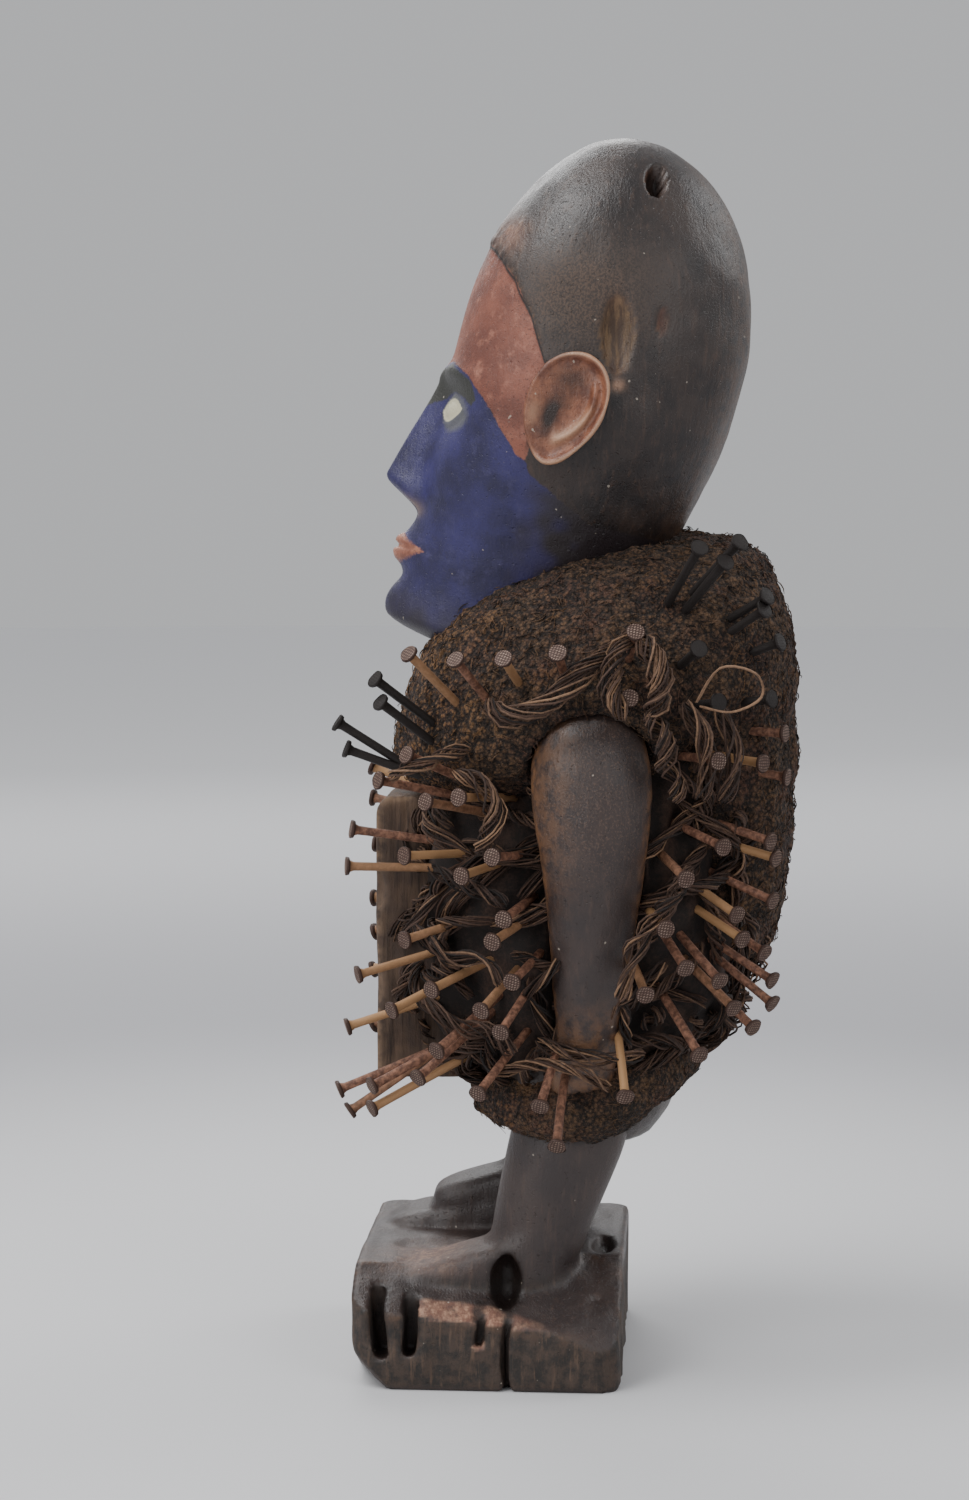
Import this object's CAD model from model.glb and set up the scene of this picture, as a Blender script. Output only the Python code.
# A nkisi nkondi power figure: one block of carved wood, a wooden box on its belly, wrappings of
# fibre and many nails. It faces -Y, its left side is +X and +Z is up. Lengths are in millimetres
# until add_piece turns them into metres.
import math

import bpy
import numpy as np
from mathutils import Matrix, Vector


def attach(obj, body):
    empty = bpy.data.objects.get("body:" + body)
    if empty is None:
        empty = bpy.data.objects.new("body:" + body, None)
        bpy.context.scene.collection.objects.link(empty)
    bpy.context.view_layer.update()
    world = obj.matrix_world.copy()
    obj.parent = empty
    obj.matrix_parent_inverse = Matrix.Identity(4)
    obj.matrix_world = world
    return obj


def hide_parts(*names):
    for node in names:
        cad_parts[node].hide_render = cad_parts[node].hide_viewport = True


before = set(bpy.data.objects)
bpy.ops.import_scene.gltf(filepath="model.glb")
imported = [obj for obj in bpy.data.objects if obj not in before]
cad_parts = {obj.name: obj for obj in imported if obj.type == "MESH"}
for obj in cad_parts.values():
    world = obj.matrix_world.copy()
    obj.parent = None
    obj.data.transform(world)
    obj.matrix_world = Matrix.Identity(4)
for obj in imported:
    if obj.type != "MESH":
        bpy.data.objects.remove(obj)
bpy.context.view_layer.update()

# The camera looks at the figure's left side, a little from behind and a little down, with a short
# telephoto lens.
camera = bpy.data.objects.new("camera", bpy.data.cameras.new("camera"))
bpy.context.scene.collection.objects.link(camera)
bpy.context.scene.camera = camera
camera.data.lens = 74.2
camera.data.sensor_width = 36
camera.location = (1.1472, 0.0772, 0.325)
camera.rotation_euler = (math.radians(90 - 4.9), 0, math.radians(94))

# The floor is one pale disc that darkens softly away from the figure, under five wide soft lamps.


def colour(red, green, blue):
    """A colour as a painter reads it, 0 to 255, in the renderer's own scale"""
    parts = [value / 255 for value in (red, green, blue)]
    return [part / 12.92 if part < 0.04 else ((part + 0.055) / 1.055) ** 2.4 for part in parts] + [1]


def new_finish(name, roughness):
    """A new material and its shader"""
    material = bpy.data.materials.new(name)
    material.use_nodes = True
    shader = material.node_tree.nodes["Principled BSDF"]
    shader.inputs["Roughness"].default_value = roughness
    return material, shader


def join(material, source, shader, socket):
    """Leads a node's result to one of the shader's sockets"""
    material.node_tree.links.new(source, shader.inputs[socket])


def add_node(material, kind, inputs, result=0, **settings):
    """One node; each of its inputs is a plain value or another node's result"""
    made = material.node_tree.nodes.new("ShaderNode" + kind)
    for name, value in settings.items():
        setattr(made, name, value)
    for socket, value in inputs.items():
        if isinstance(value, bpy.types.NodeSocket):
            material.node_tree.links.new(value, made.inputs[socket])
        else:
            made.inputs[socket].default_value = value
    return made.outputs[result]


def place_on(material, stretch=(1, 1, 1), shift=0.0):
    """Where a point lies on the piece, in millimetres"""
    place = add_node(material, "TexCoord", {}, "Object")
    scale = [1000 * part for part in stretch]
    return add_node(material, "Mapping", {"Vector": place, "Scale": scale, "Location": [shift] * 3})


def clouds(material, size, detail=3.0, rough=0.55, stretch=(1, 1, 1), shift=0.0):
    """Soft noise from 0 to 1 whose spots are about size millimetres wide"""
    place = place_on(material, stretch, shift)
    values = {"Vector": place, "Scale": 1 / size, "Detail": detail, "Roughness": rough}
    return add_node(material, "TexNoise", values)


def eased(material, value, low, high):
    """0 below low, 1 above high and a smooth rise between them"""
    values = {"Value": value, "From Min": low, "From Max": high}
    return add_node(material, "MapRange", values, interpolation_type="SMOOTHSTEP")


def sums(material, operation, first, second):
    """Two values put together: ADD, MULTIPLY, SUBTRACT, MAXIMUM or MINIMUM"""
    return add_node(material, "Math", {0: first, 1: second}, operation=operation)


def blend(material, share, under, over):
    """The colour over laid on the colour under by a share from 0 to 1"""
    return add_node(material, "Mix", {0: share, 6: under, 7: over}, 2, data_type="RGBA")


def raised(material, height, millimetres, below=None):
    """Fine relief: a height from 0 to 1 that stands out by so many millimetres"""
    values = {"Height": height, "Distance": millimetres / 1000, "Strength": 1.0}
    if below is not None:
        values["Normal"] = below
    return add_node(material, "Bump", values)


floor_mesh = bpy.data.meshes.new("floor")
floor_ring = [(6 * math.cos(t), 6 * math.sin(t), 0) for t in np.linspace(0, 2 * math.pi, 96, False)]
floor_mesh.from_pydata(floor_ring, [], [list(range(96))])
floor = bpy.data.objects.new("floor", floor_mesh)
bpy.context.scene.collection.objects.link(floor)
floor_finish, floor_shader = new_finish("pale_floor", 0.75)
from_middle = add_node(floor_finish, "VectorMath", {0: place_on(floor_finish)}, 1, operation="LENGTH")
floor_tone = blend(floor_finish, eased(floor_finish, from_middle, 250, 750), colour(204, 204, 206), colour(160, 160, 164))
floor_tone = blend(floor_finish, eased(floor_finish, from_middle, 700, 2600), floor_tone, colour(250, 250, 252))
join(floor_finish, floor_tone, floor_shader, "Base Color")
floor_mesh.materials.append(floor_finish)

room = bpy.data.worlds.new("grey_room")
room.use_nodes = True
room.node_tree.nodes["Background"].inputs["Color"].default_value = colour(196, 197, 199)
room.node_tree.nodes["Background"].inputs["Strength"].default_value = 0.95
bpy.context.scene.world = room

# Each lamp: where it hangs in metres, its width and its power
LAMPS = {
    "ceiling_lamp": [(0.25, -0.75, 1.7), 1.0, 22],
    "window_lamp": [(1.5, -1.1, 0.95), 1.2, 16],
    "side_lamp": [(1.3, 1.3, 1.0), 1.2, 8],
    "far_lamp": [(-1.5, -0.4, 1.3), 1.2, 14],
    "back_lamp": [(-0.9, 1.5, 1.3), 1.1, 10],
}
for name, (spot, width, power) in LAMPS.items():
    lamp = bpy.data.lights.new(name, "AREA")
    lamp.shape = "DISK"
    lamp.size = width
    lamp.energy = power
    lamp_object = bpy.data.objects.new(name, lamp)
    bpy.context.scene.collection.objects.link(lamp_object)
    lamp_object.location = spot
    towards = Vector((0, 0, 0.24)) - Vector(spot)
    lamp_object.rotation_euler = towards.to_track_quat("-Z", "Y").to_euler()

# The carved figure: head, trunk, arms, legs, feet and rough base are one block of dark oiled wood,
# left standing by the carver's adze and knife and then painted on the face. The head is worked as
# rings; the limbs and the base are worked as one skin over their forms.
BASE = {"wide": 124, "front": -48, "back": 50, "high": 41, "corner": 9}
HEWN_TOP = [(62, -24, 37.5), (0.9, 0.335, 1)]
HEWN_CORNER = [(62, -44, 11), (0.28, -0.75, -0.65)]
LEDGE = [(50, -24, 32.6), (0.52, 0.1, 1)]
# Slots and cracks in the base: middle across Y, lowest and highest level, width and depth
BASE_SLOTS = [(-37, 11, 35, 5.4, 15), (-26.5, 12, 36, 5, 11), (-1.5, 16, 30, 3.2, 6), (9.5, -4, 28, 2.4, 5)]
# Slabs of the feet, toes down: middle, half-sizes and slope
FEET = [
    ((30, -11, 33), (16, 31, 11), 0.3),
    ((-30, -13, 38), (17, 31, 12.5), 0.22),
    ((-28, -1, 50), (14, 23, 12.5), 0.28),
]
# Limbs as level sections: height, middle in X and Y, half the width and half the depth
LEG = [
    (22, 29, 14, 13, 16),
    (38, 29, 16, 13, 16),
    (60, 29, 22, 15.5, 19),
    (88, 28, 30, 18, 21.5),
    (112, 26, 34, 17, 20),
]
ARM = [
    (106, 45, 35, 9, 11),
    (122, 52, 37, 9, 11.5),
    (140, 57, 38, 9.5, 12),
    (165, 62, 39.2, 11.5, 15),
    (192, 65, 39.8, 14, 18.5),
    (220, 65, 39.4, 15.5, 21.5),
    (236, 61, 39, 15, 19),
    (250, 52, 39, 10, 12),
]
TRUNK = [
    (84, 0, 33, 30, 26),
    (98, 0, 34, 45, 34),
    (125, 0, 36, 44, 36),
    (160, 0, 38, 38, 34),
    (205, 0, 38, 43, 37),
    (238, 0, 38, 54, 37),
    (256, 0, 37, 46, 32),
    (264, 0, 35, 32, 28),
]
NECK = [(250, 0, 34, 34, 31), (275, 0, 31, 30, 29), (312, 0, 34, 30, 28)]
# The head in its own frame: z up the face from the chin, in thirds to the nose, brow and hairline
LEAN = math.radians(15)
CHIN = (-38, 270)
NOSE_BASE = 48.7
BROW = 97.4
MOUTH = 32.5
EYE = (19.5, 86.4)


def mottle(points, size, seed=0):
    """Smooth random lumps from -1 to 1 at each point, about size millimetres wide"""
    table = np.random.default_rng(97).uniform(-1, 1, 65536)
    place = points / size + 17.31 * seed
    cell = np.floor(place).astype(np.int64)
    share = place - cell
    share = share * share * (3 - 2 * share)
    total = np.zeros(len(points))
    for corner in np.ndindex(2, 2, 2):
        key = (cell + corner) * [73856093, 19349663, 83492791]
        key = (key[:, 0] ^ key[:, 1] ^ key[:, 2]) & 65535
        total += np.prod(np.where(corner, share, 1 - share), axis=1) * table[key]
    return total


def smooth(value, low, high):
    """0 below low, 1 above high and a smooth rise between them"""
    share = np.clip((value - low) / (high - low), 0, 1)
    return share * share * (3 - 2 * share)


def bump(distance, half):
    """1 in the middle and fading out on both sides"""
    return np.exp(-((distance / half) ** 2))


def merged(first, second, soft):
    """Two forms grown together, with a hollow of the width soft between them"""
    share = np.clip(0.5 + 0.5 * (second - first) / soft, 0, 1)
    return second + (first - second) * share - soft * share * (1 - share)


def section(levels, z):
    """The smooth middle and half-sizes of a limb at each height"""
    rows = np.array(levels, float)
    order = np.arange(len(rows))
    change = rows[np.minimum(order + 1, order[-1])] - rows[np.maximum(order - 1, 0)]
    slope = change[:, 1:] / change[:, :1]
    upper = np.clip(np.searchsorted(rows[:, 0], z), 1, order[-1])
    span = (rows[upper, 0] - rows[upper - 1, 0])[:, None]
    t = np.clip((z - rows[upper - 1, 0])[:, None] / span, 0, 1)
    low, high = rows[upper - 1, 1:], rows[upper, 1:]
    rise = (1 - t) ** 2 * t * span * slope[upper - 1] - t ** 2 * (1 - t) * span * slope[upper]
    return low + (high - low) * t * t * (3 - 2 * t) + rise


def limb(p, levels, power=2.0, mirror=1):
    """How far each point lies outside a limb"""
    x, y, wide, deep = section(levels, p[:, 2]).T
    across = np.abs((mirror * p[:, 0] - x) / wide) ** power
    ring = (across + np.abs((p[:, 1] - y) / deep) ** power) ** (1 / power)
    ends = np.maximum(levels[0][0] - p[:, 2], p[:, 2] - levels[-1][0])
    return np.maximum((ring - 1) * np.minimum(wide, deep), ends)


def ball(p, at, size, power=2.0, turn=0.0):
    """How far each point lies outside an egg of half-sizes, or a squarer one, nodding by turn"""
    x, y, z = (p - at).T
    y, z = y * math.cos(turn) + z * math.sin(turn), z * math.cos(turn) - y * math.sin(turn)
    ring = sum(np.abs(part / half) ** power for part, half in zip((x, y, z), size)) ** (1 / power)
    return (ring - 1) * min(size)


def plane(p, point, normal):
    """How far each point lies beyond a hewn face"""
    out = np.array(normal) / np.linalg.norm(normal)
    return (p - point) @ out


def block(p):
    """The base block with its hewn faces, before the slots"""
    corner = BASE["corner"]
    middle = (BASE["front"] + BASE["back"]) / 2
    x = np.abs(p[:, 0]) - BASE["wide"] / 2 + corner
    y = np.abs(p[:, 1] - middle) - (BASE["back"] - BASE["front"]) / 2 + corner
    outside = np.hypot(np.maximum(x, 0), np.maximum(y, 0))
    side = outside + np.minimum(np.maximum(x, y), 0) - corner
    hollow = 1.2 * bump(p[:, 2] - 24, 9) * smooth(p[:, 0], 40, 60)
    side = side + hollow
    top = -merged(BASE["high"] - p[:, 2], -plane(p, *HEWN_TOP), 3)
    whole = np.maximum(np.maximum(side, -p[:, 2]), top)
    return whole


def rod(p, start, end, radius):
    """How far each point lies outside a straight round rod"""
    along = np.subtract(end, start)
    share = np.clip((p - start) @ along / (along @ along), 0, 1)
    return np.linalg.norm(p - start - share[:, None] * along, axis=1) - radius


def lower_body(p):
    """Base, feet, legs and the cuts in them"""
    x, y, z = p.T
    form = np.maximum(block(p), plane(p, *LEDGE))
    for at, size, slope in FEET:
        form = merged(form, ball(p, at, size, 4.5, slope), 1.5)
    for mirror in (1, -1):
        form = merged(form, limb(p, LEG, 2.0, mirror), 5)
    form = -merged(-form, -plane(p, *HEWN_CORNER), 3)
    for middle, low, high, wide, deep in BASE_SLOTS:
        bend = 1.2 * np.sin(z / 8 + middle)
        over = np.maximum(0, np.abs(z - (low + high) / 2) - (high - low - wide) / 2)
        slot = np.hypot(y - middle - bend, over) - wide / 2
        form = np.maximum(form, -np.maximum(slot, 62 - deep - x))
    form = np.maximum(form, -ball(p, (46, 8, 36), (11, 5.4, 10)))
    form = np.maximum(form, -ball(p, (5, 42, 42), (15, 4.5, 6)))
    form = np.maximum(form, -rod(p, (50, 33, 31.5), (42, 41, 29.5), 1.3))
    form = np.maximum(form, -ball(p, (34, -22, 44), (7, 12, 2.6), 2.0, 0.3))
    form = np.maximum(form, -ball(p, (8, -22, 42), (9, 16, 3)))
    form = np.maximum(form, -ball(p, (-58, 20, 34), (8, 6, 5), 2.0, 0.4))
    form = np.maximum(form, -rod(p, (-63, -22, 6), (-63, -20, 28), 2.2))
    form = np.maximum(form, -rod(p, (-18, 51, 2), (-16, 51, 26), 2.0))
    return form


def skin(form, low, high, step):
    """Points and faces of the surface of a form, found in a grid of cells of the size step"""
    axes = [np.arange(a, b + step, step) for a, b in zip(low, high)]
    grid = np.stack(np.meshgrid(*axes, indexing="ij"), -1)
    value = form(grid.reshape(-1, 3)).reshape(grid.shape[:3])
    inside = value < 0
    cells = np.array(value.shape) - 1
    ends = list(np.ndindex(2, 2, 2))
    filled = sum(inside[i:i + cells[0], j:j + cells[1], k:k + cells[2]].astype(int) for i, j, k in ends)
    crossed = (filled > 0) & (filled < 8)
    index = np.argwhere(crossed)
    total = np.zeros((len(index), 3))
    hits = np.zeros(len(index))
    for start in ends:
        for axis in range(3):
            if start[axis]:
                continue
            end = np.array(start) + np.eye(3, dtype=int)[axis]
            a = value[tuple((index + start).T)]
            b = value[tuple((index + end).T)]
            cut = (a < 0) != (b < 0)
            share = np.where(cut, a / np.where(cut, a - b, 1), 0)
            spot = start + share[:, None] * np.eye(3)[axis]
            total += cut[:, None] * spot
            hits += cut
    points = np.array(low) + step * (index + total / hits[:, None])
    number = np.full(crossed.shape, -1)
    number[crossed] = np.arange(len(index))
    faces = []
    for axis in range(3):
        u, v = (axis + 1) % 3, (axis + 2) % 3
        first = np.take(inside, range(cells[axis]), axis)
        last = np.take(inside, range(1, cells[axis] + 1), axis)
        edge = np.argwhere(first != last)
        kept = (edge[:, u] > 0) & (edge[:, v] > 0) & (edge[:, u] < cells[u]) & (edge[:, v] < cells[v])
        edge = edge[kept]
        step_u, step_v = np.eye(3, dtype=int)[u], np.eye(3, dtype=int)[v]
        corners = [edge, edge - step_u, edge - step_u - step_v, edge - step_v]
        quads = np.stack([number[tuple(corner.T)] for corner in corners], 1)
        outward = inside[tuple(edge.T)]
        faces.append(np.where(outward[:, None], quads, quads[:, ::-1]))
    return points, np.concatenate(faces)


def outward(points, faces):
    """The direction straight out of the surface at each point"""
    a, b, c, d = (points[faces[:, i]] for i in range(4))
    square = np.cross(c - a, d - b)
    total = np.zeros_like(points)
    for i in range(4):
        np.add.at(total, faces[:, i], square)
    return total / np.maximum(np.linalg.norm(total, axis=1), 1e-9)[:, None]


def wrapped(rings, segments):
    """Faces of a form of rings that close on themselves, from the lowest ring to the highest"""
    ring, turn = np.meshgrid(np.arange(rings - 1), np.arange(segments), indexing="ij")
    after = (turn + 1) % segments
    corners = [ring * segments + turn, ring * segments + after]
    corners += [(ring + 1) * segments + after, (ring + 1) * segments + turn]
    return np.stack([corner.ravel() for corner in corners], 1)


def around(turn, wide, front, back, power):
    """A point of a rounded-square ring: turn 0 is the front and a quarter turn the left side"""
    reach = (np.abs(np.sin(turn)) ** power + np.abs(np.cos(turn)) ** power) ** (-1 / power)
    return wide * np.sin(turn) * reach, -np.where(np.cos(turn) > 0, front, back) * np.cos(turn) * reach


def from_head(x, y, z):
    """Points of the head's own frame as points of the figure"""
    along = CHIN[0] + y * math.cos(LEAN) + z * math.sin(LEAN)
    up = CHIN[1] - y * math.sin(LEAN) + z * math.cos(LEAN)
    return np.stack([x, along, up], -1)


def head_oval(z):
    """Half the width and the reach to front and back of the plain head at a height"""
    jaw = smooth(z, 0, 105)
    dome = np.sqrt(np.maximum(0, 1 - ((z - 120) / 77.5) ** 2))
    nape = np.sqrt(np.maximum(0, 1 - ((120 - z) / 117) ** 2))
    under = np.where(z < 8, np.sqrt(np.maximum(0, 1 - (1 - z / 8) ** 2)), 1)
    skull = z >= 120
    wide = np.where(skull, 50 * dome, under * (24 + 26 * jaw))
    front = np.where(skull, 48.5 * dome, under * (45 + 3.5 * jaw))
    back = np.where(skull, 56 * dome, 56 * np.minimum(nape, np.sqrt(under)))
    power = 1.8 + 0.35 * jaw - 0.15 * smooth(z, 95, 150)
    return wide, front, back, under, power


def almond(x, z):
    """How far a point lies inside the almond of the eye, from 1 in the middle to 0 at the lids"""
    across = (np.abs(x) - EYE[0]) / 9.8
    up = (z - EYE[1] + 0.8 - 1.2 * across) / 4.6
    return 1 - across ** 2 - np.abs(up)


def lip_shape(x, z):
    """How far a point lies inside the lips, in millimetres"""
    across = np.clip(np.abs(x) / 16, 0, 2)
    bow = 0.9 * bump(np.abs(x) - 4.5, 3)
    upper = (5.0 + bow) * (1 - across ** 1.8)
    lower = 6.2 * (1 - across ** 2.2)
    rise = z - MOUTH - 0.8 * across ** 2
    return np.where(rise > 0, upper - rise, lower + rise)


def face_relief(x, z):
    """How far the face stands out of the plain oval"""
    side = np.abs(x)
    root, tip = BROW - 3, NOSE_BASE + 6
    down = np.clip((root - z) / (root - tip), 0, 1)
    ends = smooth(z, NOSE_BASE - 4, NOSE_BASE + 9) * bump(np.maximum(0, z - root), 7)
    half = 4.5 + 5 * down
    out = (3 + 12.5 * down) * ends * np.exp(-(side / half) ** (2 + 0.5 * down))
    out += 3.6 * bump(side - 9.3, 3.6) * bump(z - NOSE_BASE - 4, 4.6)
    out -= 1.2 * bump(side - 12.6, 1.6) * bump(z - NOSE_BASE - 5, 5)
    out -= 2.6 * bump(side - 5.6, 2.2) * bump(z - NOSE_BASE + 0.6, 1.6)
    out += 5.6 * bump(x, 17) * bump(z - MOUTH, 8)
    out += 1.3 * smooth(lip_shape(x, z), -0.4, 1.6)
    out -= 2.6 * bump(x, 14.5) * bump(z - MOUTH - 0.8 * (side / 16) ** 2, 1.1)
    out -= 1.1 * bump(x, 2.4) * bump(z - 42.5, 4.5)
    out -= 1.4 * bump(x, 9) * bump(z - 23, 3.6)
    out += 5 * bump(x, 15) * bump(z - 12, 9)
    out -= 6 * bump(side - EYE[0], 12) * bump(z - EYE[1], 9)
    out += 4.2 * bump(side - EYE[0], 8.5) * bump(z - EYE[1] + 0.8, 5.4)
    lid = almond(x, z)
    out += 1.0 * bump(lid + 0.06, 0.22)
    out += 0.6 * smooth(lid, 0, 0.7)
    out += 0.8 * bump(side - EYE[0], 9) * bump(z - EYE[1] - 6.4, 1.5)
    out += 2.5 * bump(side - EYE[0] + 2, 16) * bump(z - BROW - 1, 4)
    out += 2 * bump(side - 28, 13) * bump(z - NOSE_BASE - 12, 14)
    return out


def hairline(angle):
    """Height of the hair's edge above the chin at an angle round the head, 0 in front"""
    return np.interp(angle, [0, 18, 35, 50, 64, 76, 180], [146.5, 146.5, 142.5, 136, 124.5, 109, 109])


def paint_line(angle):
    """Height of the line between the blue below and the ochre above"""
    return np.interp(angle, [0, 22, 40, 50, 60, 72, 80, 110], [101, 103, 99, 93, 86, 77, 74, 62])


def worked_head():
    """The head as fine rings with its face, hair cap, wounds and the marks where paint goes"""
    rings, segments = 178, 256
    level = np.linspace(0, 1, rings)
    low = 8 * (1 - np.cos(np.clip(level / 0.05, 0, 1) * np.pi / 2))
    high = 120 + 77.5 * np.sin(np.clip((level - 0.66) / 0.34, 0, 1) * np.pi / 2)
    z = np.where(level < 0.05, low, np.where(level < 0.66, 8 + (level - 0.05) / 0.61 * 112, high))
    share = np.linspace(-1, 1, segments, endpoint=False)
    turn = np.pi * (0.62 * share + 0.38 * share ** 3)
    z, turn = (grid.ravel() for grid in np.meshgrid(z, turn, indexing="ij"))
    wide, front, back, under, power = head_oval(z)
    x, y = around(turn, wide, front, back, power)
    facing = smooth(np.cos(turn), 0, 0.5)
    angle = np.degrees(np.abs(turn))
    behind = 1.2 * np.maximum(0, angle - 42)
    hair = np.maximum(z - hairline(angle), (angle - 77) * 0.9)
    wander = mottle(np.stack([x, y, z], 1), 7, 3)
    line = paint_line(angle)
    marks = {
        "ochre": np.minimum(np.minimum(z - line, -hair), 60) + 0.5 * wander,
        "blue": line - z - 0.5 * wander - 3 * smooth(angle, 77, 80),
        "fade": np.maximum(smooth(angle + 12 * wander, 80, 104), 0.85 * smooth(z + 5 * wander, 22, 2)),
        "hair": hair + 0.5 * wander,
        "eye": almond(x, z) - behind,
        "eyepaint": (1 - np.hypot((np.abs(x) - EYE[0] - 1) / 13.5, (z - EYE[1] + 1.5) / 8.5)) * 8 - behind,
        "browpaint": np.minimum(line - 0.8 - z, z - 92 + 0.02 * (np.abs(x) - 20) ** 2) - behind,
        "lips": lip_shape(x, z) - behind,
        "seam": smooth(z, 76, 84) * smooth(angle, 110, 100),
        "nostril": facing * bump(np.abs(x) - 7.5, 4) * bump(z - NOSE_BASE + 0.5, 2.6),
    }
    y = 45 + y - facing * under * face_relief(x, z)
    points = from_head(x, y, z)
    faces = wrapped(rings, segments)
    normal = outward(points, faces)
    cap = 0.9 * smooth(hair, -0.3, 1.4) * smooth(z, 70, 90)
    adze = 0.45 * mottle(points, 15, 1) + 0.2 * mottle(points, 6, 2)
    pitted = 0.5 * bump(np.minimum(hair, 12) - 4, 6) * mottle(points, 2.2, 5) * smooth(angle, 60, 20)
    still = 1 - 0.75 * facing * smooth(hair, 0, -4)
    points = points + normal * (cap + adze * still + pitted)[:, None]
    depth = np.zeros(len(points))
    wounds = [((29, 60.5, 433), (9, 4, 7)), ((51, 63, 382.5), (8, 2.5, 7.5)), ((55, 48, 378.5), (9, 8, 20.5))]
    for at, size in wounds:
        a = ((normal / size) ** 2).sum(1)
        b = ((points - at) * normal / np.square(size)).sum(1)
        c = (((points - at) / size) ** 2).sum(1) - 1
        deep = np.where(c < 0, (b + np.sqrt(np.maximum(0, b * b - a * c))) / a, 0)
        depth = np.maximum(depth, deep)
    inside = smooth(depth, 0.3, 1.2)
    row_y, row_z = points[:, 1], points[:, 2]
    gouged = inside * bump(np.abs(row_z - 378.5) / 21, 1.1) * smooth(np.abs(row_y - 48), 10, 8)
    points = points - normal * depth[:, None]
    marks["gouge"] = gouged
    marks["scar"] = 0.8 * bump(np.hypot(row_y - 47.5, row_z - 360), 2.0) * (points[:, 0] > 0)
    marks["dark"] = smooth(depth, 1.6, 3.5) * (1 - gouged)
    patch = bump(row_y - 8, 6) * bump(row_z - 415, 6) * smooth(hair, 0, 1)
    marks["raw"] = np.clip(0.5 * inside * (1 - gouged) + 0.75 * patch, 0, 1)
    marks["dust"] = np.clip(1.3 * bump(row_y - 35, 22) * bump(row_z - 392, 20) * smooth(hair, 0, 3), 0, 1)
    marks["wear"] = 0.6 * bump(hair - 0.4, 0.7) * smooth(z, 80, 100) + 0.3 * smooth(angle, 130, 175)
    marks["polish"] = np.clip(bump(angle - 52, 26) * smooth(z, 138, 152) + 0.6 * bump(angle - 118, 22), 0, 1)
    pole = points[-segments:].mean(0)
    foot = points[:segments].mean(0)
    points[-segments:] = pole
    points[:segments] = foot
    return points, faces, marks


def worked_ear(mirror):
    """An ear: a dish with a rolled rim, an inner ridge and a deep bowl, its back let into the head"""
    rings, segments = 36, 70
    step = np.linspace(0, 1.4, rings)
    turn = np.linspace(0, 2 * np.pi, segments, endpoint=False)
    step, turn = (grid.ravel() for grid in np.meshgrid(step, turn, indexing="ij"))
    behind, above = np.cos(turn), np.sin(turn)
    reach = np.interp(step, [0, 1, 1.1, 1.25, 1.4], [0.01, 1, 0.97, 0.88, 0.72])
    u, v = reach * behind, reach * above
    front = smooth(-behind, 0.1, 0.8)
    low_front = front * smooth(-above, -0.35, 0.25)
    rim = bump(step - 0.93, 0.07) * (1 - 0.9 * low_front)
    ridge = bump(step - 0.6 - 0.06 * above, 0.11) * smooth(behind, -0.25, 0.3) * smooth(-above, -1.05, -0.55)
    bowl = np.exp(-((u + 0.26) / 0.3) ** 2 - ((v + 0.16) / 0.36) ** 2)
    fossa = np.exp(-((u + 0.12) / 0.42) ** 2 - ((v - 0.52) / 0.24) ** 2)
    tragus = np.exp(-((u + 0.74) / 0.15) ** 2 - ((v + 0.2) / 0.2) ** 2)
    dish = -1.4 + 4.2 * np.minimum(step, 1) ** 2.4 - 1.6 * low_front * smooth(step, 0.6, 1)
    out = dish + 1.9 * rim + 2.6 * ridge - 5 * bowl - 1.8 * fossa + 2.4 * tragus
    out = np.where(step > 1, np.interp(step, [1, 1.1, 1.25, 1.4], [3.4, 1.4, -2.5, -10]) - 1.6 * low_front, out)
    half_length = 14.2 + 1.8 * above - 1.7 * np.maximum(0, -above) ** 2
    y = 43.4 + u * half_length + 1.8 * above
    z = 96.3 + v * 20.8
    x = 50.4 + out + 3.2 * np.clip(u, -0.8, 1)
    x = np.where(step < 1, np.maximum(x, 51.5 + 0.9 * ridge), x)
    points = from_head(mirror * x, y, z)
    faces = wrapped(rings, segments)
    if mirror < 0:
        faces = faces[:, ::-1]
    points = points + outward(points, faces) * 0.25 * mottle(points, 5, 8)[:, None]
    pale = 0.75 * bump(step - 0.97, 0.035) * (1 - front) + 0.6 * ridge * smooth(-above, -0.5, 0.4)
    marks = {
        "ear": smooth(step, 1.06, 0.98),
        "earpale": np.clip(pale + 0.35 * tragus, 0, 1),
        "eardark": np.clip(1.25 * bowl + 0.75 * fossa, 0, 1),
    }
    return points, faces, marks


def add_piece(name, points, faces, finish, marks=None, node_names=(), slot="carved_wood"):
    """A finished piece in the scene, fixed to the figure, with its marks for the finish"""
    mesh = bpy.data.meshes.new(name)
    mesh.from_pydata((points / 1000).tolist(), [], faces.tolist())
    mesh.validate()
    mesh.shade_smooth()
    for mark, values in (marks or {}).items():
        mesh.attributes.new(mark, "FLOAT", "POINT").data.foreach_set("value", values.astype(np.float32))
    mesh.materials.append(finish)
    piece = bpy.data.objects.new(name, mesh)
    bpy.context.scene.collection.objects.link(piece)
    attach(piece, "root")
    if node_names:
        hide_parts(*node_names)
    return piece


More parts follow.
